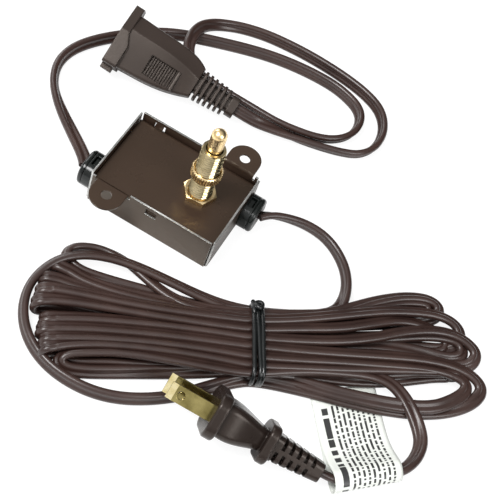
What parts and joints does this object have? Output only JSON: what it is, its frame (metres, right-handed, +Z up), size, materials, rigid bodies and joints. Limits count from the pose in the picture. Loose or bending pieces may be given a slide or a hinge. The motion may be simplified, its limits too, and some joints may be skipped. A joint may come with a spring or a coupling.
{
  "type": "pushbutton switch",
  "caption": "Plunger pushbutton switch in a shallow folded-steel box with mounting ears, a short cord to an outlet receptacle and a long tied cord with a plug.",
  "frame": {"origin": "centre of the steel box's underside, on the surface that the box stands on", "axes": "+Z up along the plunger, +X along the box towards the supply cord's bushing, +Y towards the box's back ear"},
  "size_m": [0.2189, 0.2127, 0.0535],
  "materials": {
    "painted_steel": "semi-gloss brown paint",
    "brass": "polished",
    "spring_steel": "bright",
    "black_nylon": "satin",
    "housing_moulding": "matt",
    "brown_vinyl": "satin",
    "white_film": "matt"
  },
  "bodies": {
    "switch_box": {"box_tray": "painted_steel", "cover_plate": "painted_steel", "strain_relief_outlet": "black_nylon", "strain_relief_supply": "black_nylon", "switch_neck": "brass", "lock_washer": "spring_steel", "hex_nut": "brass", "knurled_nut": "brass", "return_spring": "spring_steel", "switch_housing": "housing_moulding", "housing_base": "housing_moulding", "terminal_line": "brass", "terminal_load": "brass", "supply_line_lead": "brown_vinyl", "supply_neutral_lead": "brown_vinyl", "outlet_line_lead": "brown_vinyl", "outlet_neutral_lead": "brown_vinyl", "crimp_sleeve": "black_nylon", "outlet_cord": "brown_vinyl", "receptacle_body": "brown_vinyl", "receptacle_contact_narrow": "brass", "receptacle_contact_wide": "brass", "supply_cord_lead": "brown_vinyl", "supply_cord_hank": "brown_vinyl", "supply_cord_loop": "brown_vinyl", "supply_cord_tail": "brown_vinyl", "hank_tie": "black_nylon", "cord_tag": "white_film", "plug_body": "brown_vinyl", "plug_blade_narrow": "brass", "plug_blade_wide": "brass"},
    "plunger": {"plunger": "brass", "contact_bridge": "brass"}
  },
  "joints": [
    {"name": "plunger_press", "type": "slide", "parent": "switch_box", "child": "plunger", "axis": [0, 0, -1], "range_m": [0, 0.0055], "stiffness_N_per_m": 260, "springref_m": -0.004, "deforming": ["return_spring"]}
  ]
}
